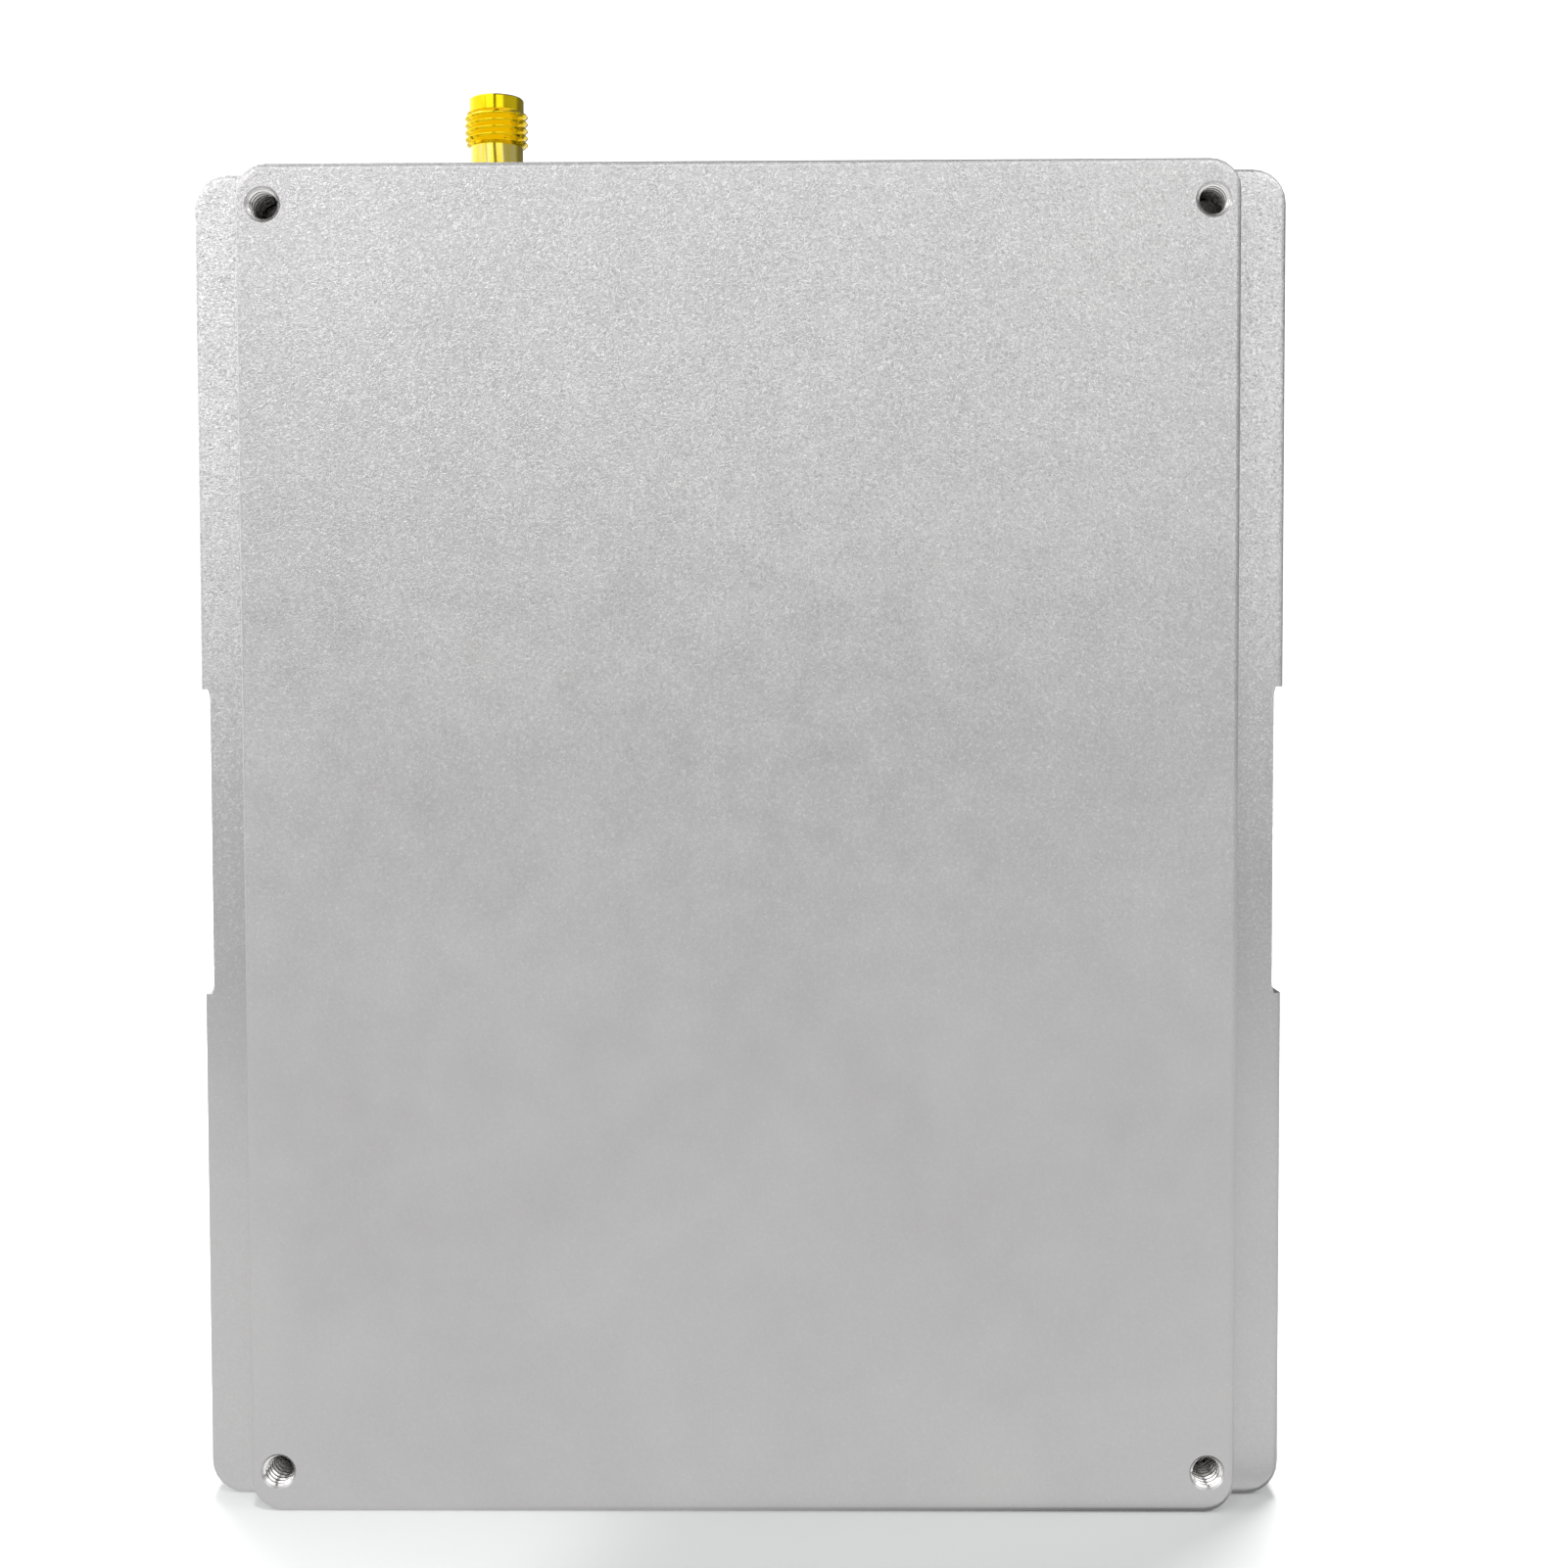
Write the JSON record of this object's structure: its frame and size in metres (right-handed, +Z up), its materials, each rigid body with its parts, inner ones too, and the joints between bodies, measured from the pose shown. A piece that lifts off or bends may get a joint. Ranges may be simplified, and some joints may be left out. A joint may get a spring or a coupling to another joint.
{
  "type": "cellular signal booster",
  "caption": "Flat upright signal booster: blasted aluminium housing with a raised back platform and tapped corner holes, plastic radome front, gold coaxial antenna port on top.",
  "frame": {"origin": "centre of the footprint the booster stands on, at the bottom end face", "axes": "+Z up towards the antenna port, +Y out of the metal back, +X to the right when looking at the radome front"},
  "size_m": [0.1076, 0.027, 0.141],
  "materials": {
    "housing": "fine bead-blasted, clear anodised",
    "radome": "fine moulded texture",
    "gasket": "matt",
    "black_screw": "black oxide",
    "plain_screw": "zinc plated",
    "gold_contact": "gold plated, bright",
    "ptfe": "waxy white",
    "black_plastic": "moulded black",
    "nickel_contact": "nickel plated",
    "circuit_board": "green solder mask",
    "shield": "tinned sheet",
    "plate_aluminium": "mill finish sheet",
    "plate_brass": "rolled sheet",
    "ceramic": "fired, matt",
    "chip": "moulded epoxy",
    "thermal_pad": "soft filled silicone",
    "clear_plastic": "clear acrylic",
    "led": "phosphor filled",
    "cable": "smooth black jacket"
  },
  "bodies": {
    "booster_body": {"rear_housing": "housing", "front_cover": "radome", "cover_gasket": "gasket", "cover_screw_1": "black_screw", "cover_screw_2": "black_screw", "cover_screw_3": "black_screw", "cover_screw_4": "black_screw", "main_board": "circuit_board", "board_screw_1": "plain_screw", "board_screw_2": "plain_screw", "board_screw_3": "plain_screw", "board_screw_4": "plain_screw", "uplink_shield_can": "shield", "downlink_shield_can": "shield", "power_shield_can": "shield", "outdoor_duplexer": "ceramic", "indoor_duplexer": "ceramic", "gain_controller_chip": "chip", "power_inductor": "chip", "uplink_amplifier": "chip", "downlink_amplifier": "chip", "uplink_thermal_pad": "thermal_pad", "downlink_thermal_pad": "thermal_pad", "bulk_capacitor": "shield", "led_1": "led", "led_2": "led", "led_3": "led", "led_4": "led", "light_pipe_1": "clear_plastic", "light_pipe_2": "clear_plastic", "light_pipe_3": "clear_plastic", "light_pipe_4": "clear_plastic", "antenna_ground_plate": "plate_aluminium", "antenna_patch": "plate_brass", "ground_standoff_1": "nickel_contact", "ground_standoff_2": "nickel_contact", "ground_standoff_3": "nickel_contact", "ground_standoff_4": "nickel_contact", "patch_spacer_1": "ptfe", "patch_spacer_2": "ptfe", "patch_spacer_3": "ptfe", "patch_spacer_4": "ptfe", "antenna_feed_pin": "nickel_contact", "antenna_coax": "cable", "coax_socket": "gold_contact", "sma_shell": "gold_contact", "sma_insulator": "ptfe", "sma_centre_contact": "gold_contact", "sma_flange_screw_1": "plain_screw", "sma_flange_screw_2": "plain_screw", "dc_jack_body": "black_plastic", "dc_jack_pin": "nickel_contact", "power_switch_body": "black_plastic", "power_switch_frame": "shield"},
    "switch_slider": {"power_switch_slider": "black_plastic"}
  },
  "joints": [
    {"name": "power_switch_slide", "type": "slide", "parent": "booster_body", "child": "switch_slider", "axis": [1, 0, 0], "range_m": [0, 0.0024]}
  ]
}
